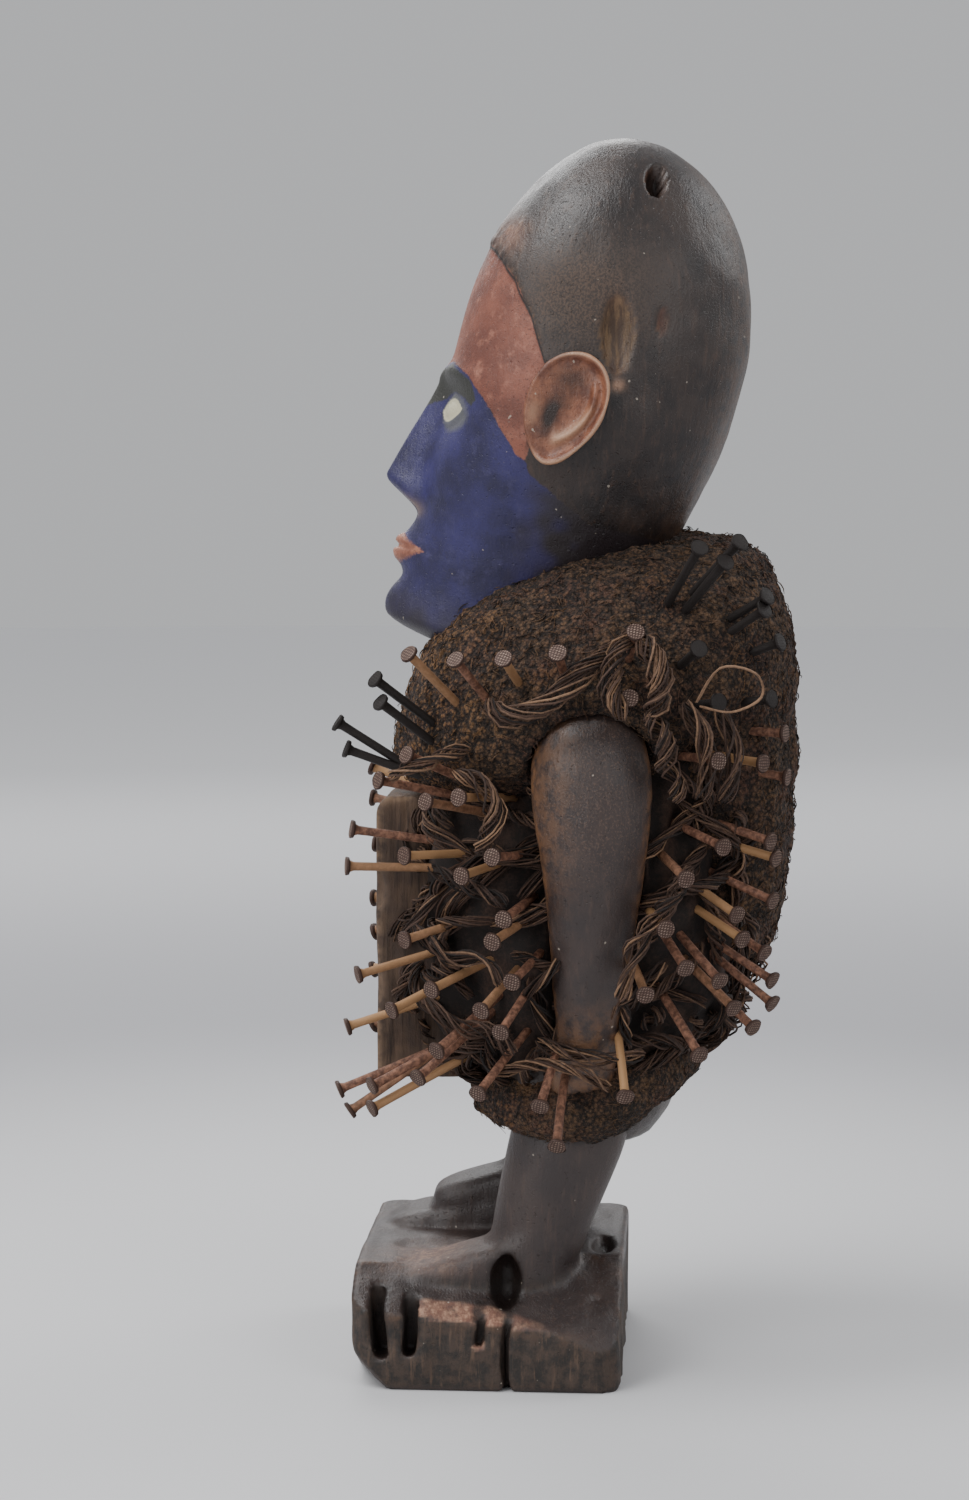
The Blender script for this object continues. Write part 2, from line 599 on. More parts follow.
def gathered(parts):
    """Several meshes as one; a mark that a part lacks is taken as plain dark wood"""
    plain = {"ochre": -50.0, "blue": -50.0, "hair": 50.0, "browpaint": -50.0, "lips": -50.0, "eyepaint": -50.0}
    plain["eye"] = -5.0
    names = sorted({name for part in parts for name in part[2]})
    starts = np.cumsum([0] + [len(part[0]) for part in parts])
    points = np.concatenate([part[0] for part in parts])
    faces = np.concatenate([part[1] + start for part, start in zip(parts, starts)])
    marks = {}
    for name in names:
        rows = [part[2].get(name, np.full(len(part[0]), plain.get(name, 0.0))) for part in parts]
        marks[name] = np.concatenate(rows)
    return points, faces, marks


def worked_base():
    """Base, feet and legs with the marks of the adze, and with raw wood where it was hewn last"""
    points, faces = skin(lower_body, (-66, -56, -3), (66, 60, 116), 1.5)
    normal = outward(points, faces)
    x, y, z = points.T
    side = smooth(np.abs(normal[:, 2]), 0.6, 0.2) * smooth(z, 40, 30)
    leg = smooth(z, 45, 62)
    upright = mottle(points * (1, 1, 0.22), 3.2, 4)
    relief = side * 0.55 * upright + 0.3 * mottle(points, 9, 6) * (1 - 0.6 * leg)
    relief += 0.35 * (1 - side) * (1 - leg) * mottle(points * (0.35, 1, 1), 4.5, 7)
    flat = smooth(z, 0.4, 2.5)
    points = points + normal * (relief * flat)[:, None]
    points[:, 2] = np.where(z < 0.7, 0, np.maximum(points[:, 2], 0))
    band = smooth(x, 51.5, 53) * smooth(x, 62.5, 61.2) * smooth(normal[:, 2], 0.3, 0.5)
    band = band * smooth(y, -24, -22) * smooth(y, 30, 2) * smooth(x - 0.28 * np.maximum(0, y), 50, 53)
    between_feet = bump(np.hypot((x - 26) / 1.3, y + 20), 15) * smooth(z, 36, 40) * 0.6
    hollow = smooth(-ball(points, (46, 8, 36), (12, 7, 12)), -2, 2)
    cut = np.max([smooth(wide / 2 + 1 - np.abs(y - middle), 0, 1.2) * (z < high) * (z > low) * (x < 60)
                  for middle, low, high, wide, deep in BASE_SLOTS], axis=0) * smooth(x, 44, 50)
    shelf = np.abs(plane(points, *LEDGE))
    faced = np.sort(np.abs(np.stack([shelf, x - 62, y + 48, y - 50, x + 62, z - 41], 1)), axis=1)
    edge = np.exp(-faced[:, 1] / 1.3) * (1 - leg)
    marks = {
        "raw": np.clip(band * (0.9 + 0.4 * mottle(points, 4, 9)) + between_feet, 0, 1),
        "wear": np.clip(0.5 * edge * (0.5 + mottle(points, 6, 10)), 0, 1),
        "hewn": side * (1 - leg),
        "dark": np.clip(hollow + 0.9 * cut, 0, 1),
        "satin": 1 - side,
    }
    return points, faces, marks


def worked_arm(mirror):
    """An arm, thick at the shoulder and thin at the wrist, polished by handling"""
    low = (min(mirror * 30, mirror * 86), 10, 100)
    high = (max(mirror * 30, mirror * 86), 68, 256)
    points, faces = skin(lambda p: limb(p, ARM, 2.0, mirror), low, high, 1.75)
    normal = outward(points, faces)
    points = points + normal * (0.5 * mottle(points, 17, 11) + 0.15 * mottle(points, 5, 12))[:, None]
    edge = smooth(np.abs(normal[:, 1]), 0.75, 0.98)
    wrist = smooth(points[:, 2], 150, 118)
    shoulder = smooth(points[:, 1], 40, 22) * smooth(points[:, 2], 150, 215)
    marks = {
        "wear": np.clip(0.8 * edge + 0.8 * wrist + 0.55 * shoulder, 0, 1),
        "satin": np.ones(len(points)),
        "speckled": smooth(points[:, 2], 170, 205),
    }
    return points, faces, marks


def worked_trunk(levels):
    """The trunk or the neck, left coarse under the fibre"""
    points, faces = skin(lambda p: limb(p, levels, 2.6), (-60, -2, 80), (60, 80, 316), 4)
    return points, faces, {}


figure = gathered([
    worked_head(),
    worked_ear(1),
    worked_ear(-1),
    worked_base(),
    worked_arm(1),
    worked_arm(-1),
    worked_trunk(TRUNK),
    worked_trunk(NECK),
])

wood, wood_shader = new_finish("dark_oiled_wood", 0.42)


def mark(name):
    """A mark of the carved figure"""
    return add_node(wood, "Attribute", {}, "Fac", attribute_name=name)


grain = clouds(wood, 2.2, 5, 0.65, (1, 1, 0.14), 4)
broad = clouds(wood, 22, 4, 0.6, shift=9)
fine = clouds(wood, 0.8, 3, 0.65, shift=2)
middling = clouds(wood, 5, 4, 0.65, shift=17)
rough_edge = sums(wood, "MULTIPLY", sums(wood, "SUBTRACT", clouds(wood, 1.5, 3, shift=6), 0.5), 2.0)
tone = blend(wood, eased(wood, broad, 0.36, 0.66), colour(30, 25, 25), colour(52, 42, 38))
tone = blend(wood, sums(wood, "MULTIPLY", eased(wood, grain, 0.5, 0.75), 0.7), tone, colour(74, 57, 48))
tone = blend(wood, sums(wood, "MULTIPLY", mark("satin"), 0.35), tone, colour(66, 54, 52))
hewn_tone = blend(wood, eased(wood, middling, 0.35, 0.62), colour(32, 27, 24), colour(60, 47, 39))
hewn_tone = blend(wood, eased(wood, grain, 0.52, 0.72), hewn_tone, colour(82, 64, 51))
tone = blend(wood, mark("hewn"), tone, hewn_tone)
dust_tone = blend(wood, eased(wood, fine, 0.4, 0.6), colour(52, 42, 36), colour(102, 82, 68))
tone = blend(wood, sums(wood, "MULTIPLY", mark("dust"), 0.5), tone, dust_tone)
speckle = sums(wood, "MULTIPLY", mark("speckled"), eased(wood, fine, 0.5, 0.66))
tone = blend(wood, sums(wood, "MULTIPLY", speckle, 0.4), tone, colour(110, 86, 72))
worn_away = sums(wood, "MULTIPLY", mark("wear"), eased(wood, middling, 0.34, 0.62))
tone = blend(wood, worn_away, tone, colour(118, 84, 58))
gouge_tone = blend(wood, eased(wood, grain, 0.4, 0.65), colour(62, 44, 30), colour(104, 80, 54))
tone = blend(wood, mark("gouge"), tone, gouge_tone)
raw_tone = blend(wood, eased(wood, grain, 0.4, 0.7), colour(112, 76, 62), colour(170, 132, 108))
tone = blend(wood, sums(wood, "MULTIPLY", mark("raw"), eased(wood, middling, 0.2, 0.5)), tone, raw_tone)
ochre_tone = blend(wood, eased(wood, broad, 0.35, 0.7), colour(98, 54, 42), colour(138, 82, 64))
ochre_tone = blend(wood, eased(wood, middling, 0.5, 0.75), ochre_tone, colour(150, 98, 80))
dark_specks = sums(wood, "MULTIPLY", eased(wood, fine, 0.55, 0.7), eased(wood, mark("ochre"), 16, 4))
ochre_tone = blend(wood, dark_specks, ochre_tone, colour(70, 42, 36))
blue_tone = blend(wood, eased(wood, broad, 0.35, 0.7), colour(30, 27, 60), colour(46, 42, 92))
blue_tone = blend(wood, sums(wood, "MULTIPLY", eased(wood, middling, 0.5, 0.75), 0.6), blue_tone, colour(62, 58, 98))
blue_tone = blend(wood, sums(wood, "MULTIPLY", eased(wood, fine, 0.58, 0.7), 0.5), blue_tone, colour(34, 30, 46))
blue_tone = blend(wood, mark("fade"), blue_tone, colour(38, 32, 34))
blue_edge = eased(wood, sums(wood, "ADD", mark("blue"), rough_edge), -0.6, 0.4)
tone = blend(wood, blue_edge, tone, blue_tone)
ochre_edge = eased(wood, sums(wood, "ADD", mark("ochre"), rough_edge), -0.5, 0.4)
tone = blend(wood, ochre_edge, tone, ochre_tone)
hair_crack = sums(wood, "MULTIPLY", eased(wood, mark("hair"), -1.6, -0.2), eased(wood, mark("hair"), 0.7, -0.1))
tone = blend(wood, sums(wood, "MULTIPLY", hair_crack, mark("seam")), tone, colour(26, 19, 17))
brow_line = sums(wood, "ADD", mark("browpaint"), rough_edge)
tone = blend(wood, eased(wood, brow_line, -0.4, 0.8), tone, colour(44, 44, 40))
around_eye = eased(wood, sums(wood, "ADD", mark("eyepaint"), rough_edge), 0.2, 3.0)
tone = blend(wood, sums(wood, "MULTIPLY", around_eye, 0.5), tone, colour(112, 114, 98))
tone = blend(wood, eased(wood, mark("eye"), -0.02, 0.12), tone, colour(184, 178, 152))
lip_edge = eased(wood, sums(wood, "ADD", mark("lips"), rough_edge), -0.5, 0.7)
lip_tone = blend(wood, eased(wood, middling, 0.35, 0.65), colour(122, 74, 58), colour(162, 106, 84))
tone = blend(wood, lip_edge, tone, lip_tone)
tone = blend(wood, sums(wood, "MULTIPLY", mark("nostril"), 0.7), tone, colour(164, 140, 116))
ear_tone = blend(wood, eased(wood, middling, 0.3, 0.7), colour(92, 52, 38), colour(140, 90, 66))
tone = blend(wood, mark("ear"), tone, ear_tone)
tone = blend(wood, mark("eardark"), tone, colour(36, 22, 17))
tone = blend(wood, mark("earpale"), tone, colour(188, 150, 120))
tone = blend(wood, sums(wood, "MULTIPLY", mark("dark"), 0.9), tone, colour(24, 15, 12))
tone = blend(wood, mark("scar"), tone, colour(186, 146, 120))
chalk = eased(wood, clouds(wood, 2.4, 1, 0.5, shift=31), 0.79, 0.81)
tone = blend(wood, sums(wood, "MULTIPLY", chalk, 0.6), tone, colour(176, 166, 152))
join(wood, tone, wood_shader, "Base Color")
shine = sums(wood, "ADD", sums(wood, "MULTIPLY", broad, 0.2), sums(wood, "MULTIPLY", fine, 0.3))
shine = sums(wood, "ADD", shine, sums(wood, "MULTIPLY", ochre_edge, 0.08))
matt = sums(wood, "MAXIMUM", sums(wood, "MAXIMUM", mark("dust"), mark("raw")), mark("hewn"))
shine = sums(wood, "ADD", shine, sums(wood, "MULTIPLY", matt, 0.3))
shine = sums(wood, "SUBTRACT", shine, sums(wood, "MULTIPLY", mark("polish"), 0.16))
join(wood, sums(wood, "ADD", shine, 0.16), wood_shader, "Roughness")
pits = eased(wood, clouds(wood, 1.3, 2, 0.5, shift=12), 0.64, 0.76)
wood_relief = raised(wood, grain, 0.3)
wood_relief = raised(wood, fine, 0.2, wood_relief)
wood_relief = raised(wood, sums(wood, "SUBTRACT", 1.0, pits), 0.2, wood_relief)
join(wood, wood_relief, wood_shader, "Normal")
add_piece("carved_figure_worked", *figure[:2], wood, figure[2], ["carved_figure"])

# The belly box: a closed box of paler unpainted wood pegged to the belly. Its upper front edge is
# rounded, its grain runs upright, and its front edges are chipped and worn pale.
BOX = {"wide": 42, "front": -42, "back": 8, "low": 106, "high": 211, "round": 7}


def box_form(p):
    """How far each point lies outside the box"""
    x, y, z = p.T
    side = np.abs(x) - BOX["wide"] / 2
    ends = np.maximum(BOX["front"] - y, y - BOX["back"])
    low = BOX["low"] - z
    top_y = np.maximum(0, BOX["front"] + BOX["round"] - y)
    top_z = np.maximum(0, z - BOX["high"] + BOX["round"])
    top = np.where(top_y > 0, np.hypot(top_y, top_z) - BOX["round"], z - BOX["high"])
    shell = np.maximum(np.maximum(ends, low), top)
    chip = ball(p, (20, -41, 176), (3, 2.5, 7))
    chip = np.minimum(chip, ball(p, (21, -42, 141), (2.2, 2.5, 10)))
    chip = np.minimum(chip, ball(p, (-20, -42, 160), (2.4, 2.5, 9)))
    chip = np.minimum(chip, ball(p, (6, -41, 210), (7, 3, 2)))
    corner = -merged(-shell, -side, 1.8)
    return np.maximum(corner, -chip)


box_points, box_faces = skin(box_form, (-23, -44, 104), (23, 10, 213), 1.3)
box_normal = outward(box_points, box_faces)
upright = mottle(box_points * (1, 1, 0.12), 2.4, 21)
box_relief = 0.35 * upright + 0.3 * mottle(box_points, 12, 22)
box_points = box_points + box_normal * (box_relief - 0.35)[:, None]
box_edge = np.sort(np.abs(np.stack([
    np.abs(box_points[:, 0]) - 21,
    box_points[:, 1] + 42,
    box_points[:, 2] - 211,
], 1)), axis=1)[:, 1]
box_marks = {"wear": np.exp(-box_edge / 1.8)}
plank, plank_shader = new_finish("plain_box_wood", 0.8)
plank_grain = clouds(plank, 1.7, 5, 0.65, (1, 1, 0.07), 3)
plank_broad = clouds(plank, 18, 3, 0.6, shift=5)
plank_tone = blend(plank, eased(plank, plank_broad, 0.35, 0.7), colour(56, 43, 35), colour(88, 68, 53))
plank_tone = blend(plank, eased(plank, plank_grain, 0.45, 0.7), plank_tone, colour(44, 32, 26))
worn = add_node(plank, "Attribute", {}, "Fac", attribute_name="wear")
worn = sums(plank, "MULTIPLY", worn, eased(plank, clouds(plank, 5, 3), 0.35, 0.6))
plank_tone = blend(plank, worn, plank_tone, colour(134, 108, 84))
join(plank, plank_tone, plank_shader, "Base Color")
plank_relief = raised(plank, plank_grain, 0.5)
plank_relief = raised(plank, clouds(plank, 0.7, 2, 0.6, shift=8), 0.2, plank_relief)
join(plank, plank_relief, plank_shader, "Normal")
add_piece("belly_box_worked", box_points, box_faces, plank, box_marks, ["belly_box"], "box_wood")

# The hip roll: a thick roll of chopped fibre bound round the hips and caked with earth, crumbly in
# front, with stray strands wound over it.
ROLL = {"y": 36, "z": 108, "wide": 43, "deep": 29, "tube": 14.5, "sag": 9, "rise": 0.2}
lots = np.random.default_rng(11)


def crumbs(points, size, seed=0):
    """Rounded crumbs about size millimetres wide: 1 at the top of each and 0 between them"""
    table = np.random.default_rng(41).uniform(0.15, 0.85, (65536, 3))
    place = points / size + 5.7 * seed
    cell = np.floor(place).astype(np.int64)
    near = np.full(len(points), 9.0)
    for offset in np.ndindex(3, 3, 3):
        other = cell + np.array(offset) - 1
        key = other * [73856093, 19349663, 83492791]
        key = (key[:, 0] ^ key[:, 1] ^ key[:, 2]) & 65535
        near = np.minimum(near, ((other + table[key] - place) ** 2).sum(1))
    return np.clip(1 - np.sqrt(near) / 0.8, 0, 1)


def strands(paths, thickness, sides=3):
    """Thin round strands, one along each path of points"""
    along = np.gradient(paths, axis=1)
    along /= np.maximum(np.linalg.norm(along, axis=2), 1e-9)[..., None]
    side = np.cross(along[:, 0], [0.31, 0.22, 0.92])
    frames = []
    for i in range(paths.shape[1]):
        side = side - along[:, i] * (side * along[:, i]).sum(1)[:, None]
        side = side / np.maximum(np.linalg.norm(side, axis=1), 1e-9)[:, None]
        frames.append(side)
    side = np.stack(frames, 1)
    up = np.cross(along, side)
    turn = np.linspace(0, 2 * np.pi, sides, endpoint=False)
    ring = np.cos(turn)[:, None] * side[:, :, None] + np.sin(turn)[:, None] * up[:, :, None]
    points = paths[:, :, None] + thickness[:, :, None, None] * ring
    one = wrapped(paths.shape[1], sides)
    count = paths.shape[1] * sides
    faces = (np.arange(len(paths)) * count)[:, None, None] + one
    return points.reshape(-1, 3), faces.reshape(-1, 4)


def bristles(points, normal, chosen, length, thickness, lift, slack=1.0):
    """Short stray fibres lying on a surface at the chosen points, most of them nearly flat"""
    count = len(chosen)
    start = points[chosen]
    up = normal[chosen]
    heading = np.cross(up, lots.normal(size=(count, 3)))
    heading /= np.linalg.norm(heading, axis=1)[:, None]
    bend = np.cross(up, heading) * lots.normal(0, 0.45 * slack, (count, 1))
    reach = length * lots.uniform(0.5, 1.4, (count, 1))
    rise = lift * lots.uniform(0.2, 1.6, (count, 1))
    steps = np.linspace(0, 1, 4)[None, :, None]
    arch = np.sin(steps * np.pi * 0.8) * rise[:, None]
    paths = start[:, None] + (steps - 0.5) * reach[:, None] * heading[:, None]
    paths = paths + steps ** 2 * reach[:, None] * bend[:, None] + up[:, None] * (arch - 0.15)
    taper = np.array([0.5, 1, 0.9, 0.35])[None] * thickness * lots.uniform(0.7, 1.3, (count, 1))
    made, faces = strands(paths, taper)
    return made, faces, np.repeat(lots.uniform(0, 1, count), 12)


rings, segments = 250, 58
turn = np.repeat(np.linspace(0, 2 * np.pi, rings, endpoint=False), segments)
spin = np.tile(np.linspace(0, 2 * np.pi, segments, endpoint=False), rings)
spread = ROLL["tube"] * np.cos(spin)
roll_y = ROLL["y"] - np.cos(turn) * (ROLL["deep"] + spread)
roll_z = ROLL["z"] - ROLL["sag"] * np.sin(turn) ** 2 + ROLL["rise"] * (roll_y - ROLL["y"])
roll_z = roll_z + ROLL["tube"] * np.where(np.sin(spin) > 0, 1, 0.72) * np.sin(spin)
roll_points = np.stack([np.sin(turn) * (ROLL["wide"] + spread), roll_y, roll_z], 1)
roll_faces = wrapped(rings + 1, segments) % (rings * segments)
roll_normal = outward(roll_points, roll_faces)
grains = crumbs(roll_points, 2.6, 1)
lumps = 1.2 * mottle(roll_points, 12, 31) + 0.8 * mottle(roll_points, 4.5, 32)
roll_points = roll_points + roll_normal * (lumps + 1.5 * grains - 0.8)[:, None]
fringe = bristles(roll_points, roll_normal, lots.integers(0, len(roll_points), 2600), 5, 0.22, 0.7)
roll_shade = np.clip(0.25 + 0.5 * grains + 0.2 * lumps, 0, 1)

crust, crust_shader = new_finish("caked_fibre", 0.95)
shade = add_node(crust, "Attribute", {}, "Fac", attribute_name="shade")
patchy = clouds(crust, 16, 3, 0.6, shift=7)
gold = add_node(crust, "Attribute", {}, "Fac", attribute_name="gold")
crumb = add_node(crust, "TexVoronoi", {"Vector": place_on(crust), "Scale": 0.62, "Randomness": 1.0}, "Distance")
second = add_node(crust, "TexVoronoi", {"Vector": place_on(crust, shift=3.3), "Scale": 1.1}, "Distance")
shade = sums(crust, "ADD", shade, sums(crust, "MULTIPLY", sums(crust, "SUBTRACT", 0.42, crumb), 0.9))
crust_tone = blend(crust, eased(crust, shade, 0.05, 0.85), colour(26, 18, 14), colour(98, 73, 52))
crust_red = blend(crust, eased(crust, shade, 0.05, 0.85), colour(24, 16, 14), colour(88, 60, 47))
crust_tone = blend(crust, eased(crust, patchy, 0.4, 0.65), crust_tone, crust_red)
crust_tone = blend(crust, sums(crust, "MULTIPLY", gold, eased(crust, shade, 0.3, 0.8)), crust_tone, colour(130, 94, 58))
dusting = eased(crust, clouds(crust, 0.8, 3, 0.7, shift=3), 0.5, 0.8)
crust_tone = blend(crust, sums(crust, "MULTIPLY", dusting, 0.55), crust_tone, colour(138, 108, 82))
join(crust, crust_tone, crust_shader, "Base Color")
crust_relief = raised(crust, sums(crust, "SUBTRACT", 1.0, crumb), 1.2)
crust_relief = raised(crust, sums(crust, "SUBTRACT", 1.0, second), 0.7, crust_relief)
crust_relief = raised(crust, clouds(crust, 0.7, 4, 0.7, shift=1), 0.5, crust_relief)
join(crust, crust_relief, crust_shader, "Normal")


def matted(points, faces, shades, hairs, golden):
    """A crust and its stray fibres as one mesh with their marks"""
    whole = np.concatenate([points, hairs[0]])
    every = np.concatenate([faces, hairs[1] + len(points)])
    return whole, every, {"shade": np.concatenate([shades, hairs[2]]), "gold": golden(whole)}


def roll_gold(p):
    """The earth on the roll is orange in front and browner behind"""
    return 0.7 * smooth(p[:, 1], 30, -5) * smooth(mottle(p, 9, 33), -0.3, 0.5)


roll = matted(roll_points, roll_faces, roll_shade, fringe, roll_gold)
add_piece("hip_roll_worked", *roll[:2], crust, roll[2], ["hip_roll"], "fibre_crust")

# The fibre bundles: thick hanks of hand-twisted dark strands, packed in front of and behind each
# arm, knotted round the nails and hanging over one another in loops.
PACK = {"y": 38, "wide": 58, "front": 66, "back": 60, "power": 2.5, "low": 103, "lift": 14}
PACK_TOP = {"front": 226, "side": 262, "back": 258}


def pack_size(turn, z):
    """How far the packed fibre reaches at a height, as a share of its full girth"""
    frontness = np.maximum(0, np.cos(turn))
    backness = np.maximum(0, -np.cos(turn))
    top = PACK_TOP["side"] - (PACK_TOP["side"] - PACK_TOP["front"]) * frontness
    top = top - (PACK_TOP["side"] - PACK_TOP["back"]) * backness
    low = PACK["low"] + PACK["lift"] * backness
    middle = np.clip(2 * (z - low) / (top - low) - 1, -1, 1)
    girth = (1 - middle ** 2) ** 0.175
    level = np.arccos(-middle) / np.pi
    belly = 1 + 0.13 * (bump(level - 0.5, 0.4) - 1)
    lumps = 1 + 0.04 * np.sin(6 * turn + z / 12) + 0.03 * np.sin(11 * turn - z / 8)
    return girth * belly * lumps


def on_pack(turn, z, out=0.0):
    """A point on the packed fibre, or so far outside it"""
    turn, z = np.broadcast_arrays(turn, z)
    share = pack_size(turn, z)
    x, y = around(turn, PACK["wide"], PACK["front"], PACK["back"], PACK["power"])
    size = np.hypot(x, y)
    return np.stack([x * (share + out / size), PACK["y"] + y * (share + out / size), z], -1)


def pack_form(p, side, end):
    """How far each point lies outside one quarter of the packed fibre"""
    x, y = p[:, 0], p[:, 1] - PACK["y"]
    turn = np.arctan2(x / PACK["wide"], -y / np.where(y < 0, PACK["front"], PACK["back"]))
    reach = np.where(y < 0, PACK["front"], PACK["back"])
    ring = (np.abs(x / PACK["wide"]) ** 2.5 + np.abs(y / reach) ** 2.5) ** 0.4
    outer = (ring - pack_size(turn, p[:, 2])) * 50
    quarter = np.maximum(0.6 - side * x, 0.6 - end * y)
    clear = -np.maximum(np.abs(x) - 22.5, y + PACK["y"] - 9.5)
    arms = 1.2 - limb(p, ARM, 2.0, side)
    return np.maximum(np.maximum(outer, quarter), np.maximum(clear, arms))


def curved(knots, steps):
    """A smooth line through a few knots"""
    knots = np.array(knots, float)
    last = len(knots) - 1
    place = np.linspace(0, last, steps)
    i = np.clip(place.astype(int), 0, last - 1)
    t = (place - i)[:, None]
    a, b = knots[np.maximum(i - 1, 0)], knots[i]
    c, d = knots[i + 1], knots[np.minimum(i + 2, last)]
    line = 2 * b + (c - a) * t + (2 * a - 5 * b + 4 * c - d) * t ** 2 + (3 * b - a - 3 * c + d) * t ** 3
    return 0.5 * line


def hank(knots, radius, count=16, twist=1.0, thickness=0.42, steps=14, pale=0.0):
    """A hank of strands twisted together along a line of knots, with each strand's shade"""
    line = curved(knots, steps)
    along = np.gradient(line, axis=0)
    along /= np.linalg.norm(along, axis=1)[:, None]
    side = np.cross(along[0], [0.2, 0.9, 0.4])
    frames = []
    for direction in along:
        side = side - direction * (side @ direction)
        side = side / np.linalg.norm(side)
        frames.append(side)
    side = np.array(frames)
    up = np.cross(along, side)
    share = np.linspace(0, 1, steps)
    start = lots.uniform(0, 2 * np.pi, (count, 1))
    away = radius * np.sqrt(lots.uniform(0.15, 1, (count, 1)))
    loose = 1 + 0.25 * np.sin(share * np.pi * lots.uniform(1, 3, (count, 1)) + start)
    pinch = 0.62 + 0.38 * np.sin(share * np.pi) ** 0.7
    angle = start + twist * 2 * np.pi * share + 0.3 * np.sin(5 * share + start)
    offset = (away * loose * pinch)[..., None]
    paths = line + offset * (np.cos(angle)[..., None] * side + np.sin(angle)[..., None] * up)
    width = thickness * lots.uniform(0.75, 1.25, (count, 1)) * np.ones((1, steps))
    width[:, [0, -1]] *= 0.5
    points, faces = strands(paths, width)
    shades = np.clip(lots.normal(0.4, 0.22, count) + pale, 0, 1)
    return points, faces, np.repeat(shades, steps * 3)


def hung(turn, z, fall, sway, bulge, out=1.0):
    """Knots of a hank that hangs on the packed fibre from one place to another"""
    steps = np.linspace(0, 1, 5)
    turns = turn + sway * steps
    heights = z - fall * steps
    return on_pack(turns, heights, out + bulge * np.sin(steps * np.pi))


def bundle(side, end, more):
    """One quarter of the packed fibre: a dark matted heart and the hanks that hang round it"""
    low = (min(0, side * 70), min(PACK["y"], PACK["y"] + end * 72), 100)
    high = (max(0, side * 70), max(PACK["y"], PACK["y"] + end * 72), 266)
    points, faces = skin(lambda p: pack_form(p, side, end), low, high, 2.6)
    normal = outward(points, faces)
    folds = mottle(points * (1, 1, 0.35), 4, 51 + side + end)
    points = points + normal * (1.2 * folds - 1.0)[:, None]
    shades = np.clip(0.12 + 0.25 * folds, 0, 1)
    parts = [(points, faces, shades)]
    first, last = (0.30, 1.42) if end < 0 else (1.74, 2.75)
    for z in np.arange(122, 262, 12.5):
        for turn in np.linspace(first, last, 5):
            at = side * (turn + lots.normal(0, 0.07))
            level = min(z + lots.normal(0, 4), 258)
            fall = lots.uniform(14, 34) * lots.choice([1, 1, 1, 0.25])
            fall = min(fall, level - 106)
            sway = lots.normal(0, 0.34)
            knots = hung(at, level, fall, sway, lots.uniform(1.5, 5.5), lots.uniform(0.5, 5))
            parts.append(hank(knots, lots.uniform(2.0, 3.8), 14, lots.choice([-1, 1]) * lots.uniform(0.6, 1.6)))
    parts += more
    counts = np.cumsum([0] + [len(part[0]) for part in parts])
    whole = np.concatenate([part[0] for part in parts])
    every = np.concatenate([part[1] + start for part, start in zip(parts, counts)])
    return whole, every, {"shade": np.concatenate([part[2] for part in parts])}


yarn, yarn_shader = new_finish("twisted_strands", 0.85)
yarn_shade = add_node(yarn, "Attribute", {}, "Fac", attribute_name="shade")
yarn_spots = clouds(yarn, 1.4, 3, 0.6, shift=14)
yarn_shade = sums(yarn, "ADD", yarn_shade, sums(yarn, "MULTIPLY", sums(yarn, "SUBTRACT", yarn_spots, 0.5), 0.6))
yarn_tone = blend(yarn, eased(yarn, yarn_shade, 0.0, 0.55), colour(24, 16, 13), colour(74, 53, 42))
yarn_tone = blend(yarn, eased(yarn, yarn_shade, 0.5, 1.05), yarn_tone, colour(142, 110, 84))
join(yarn, yarn_tone, yarn_shader, "Base Color")
join(yarn, raised(yarn, clouds(yarn, 0.6, 3, 0.7, shift=5), 0.3), yarn_shader, "Normal")

# The hanks that are worked over the others on the left: a thick one over the shoulder nail, a swag
# forward from it, a twisted one behind the arm and one knotted on a front nail
OVER_LEFT_FRONT = [
    hank([(73, 47, 268), (79, 38, 262), (80, 24, 250), (77, 10, 245), (72, 3, 249)], 4.2, 16, 1.5, pale=0.12),
    hank([(70, -9, 224), (73, 0, 222), (75, 6, 213), (74, 4, 203), (70, 0, 196)], 3.8, 14, 1.4, pale=0.1),
    hank([(66, -4, 232), (72, -14, 231), (71, -24, 226), (66, -32, 222)], 3.2, 12, 1.2, pale=0.08),
    hank([(62, -18, 190), (68, -8, 186), (72, 2, 182), (72, 10, 178)], 3.0, 12, 1.3),
    hank([(60, -24, 168), (66, -12, 160), (69, 0, 157), (70, 8, 150)], 3.4, 12, 1.2),
    hank([(60, -20, 142), (66, -8, 134), (68, 4, 132), (66, 12, 124)], 3.4, 12, 1.2, pale=0.06),
]
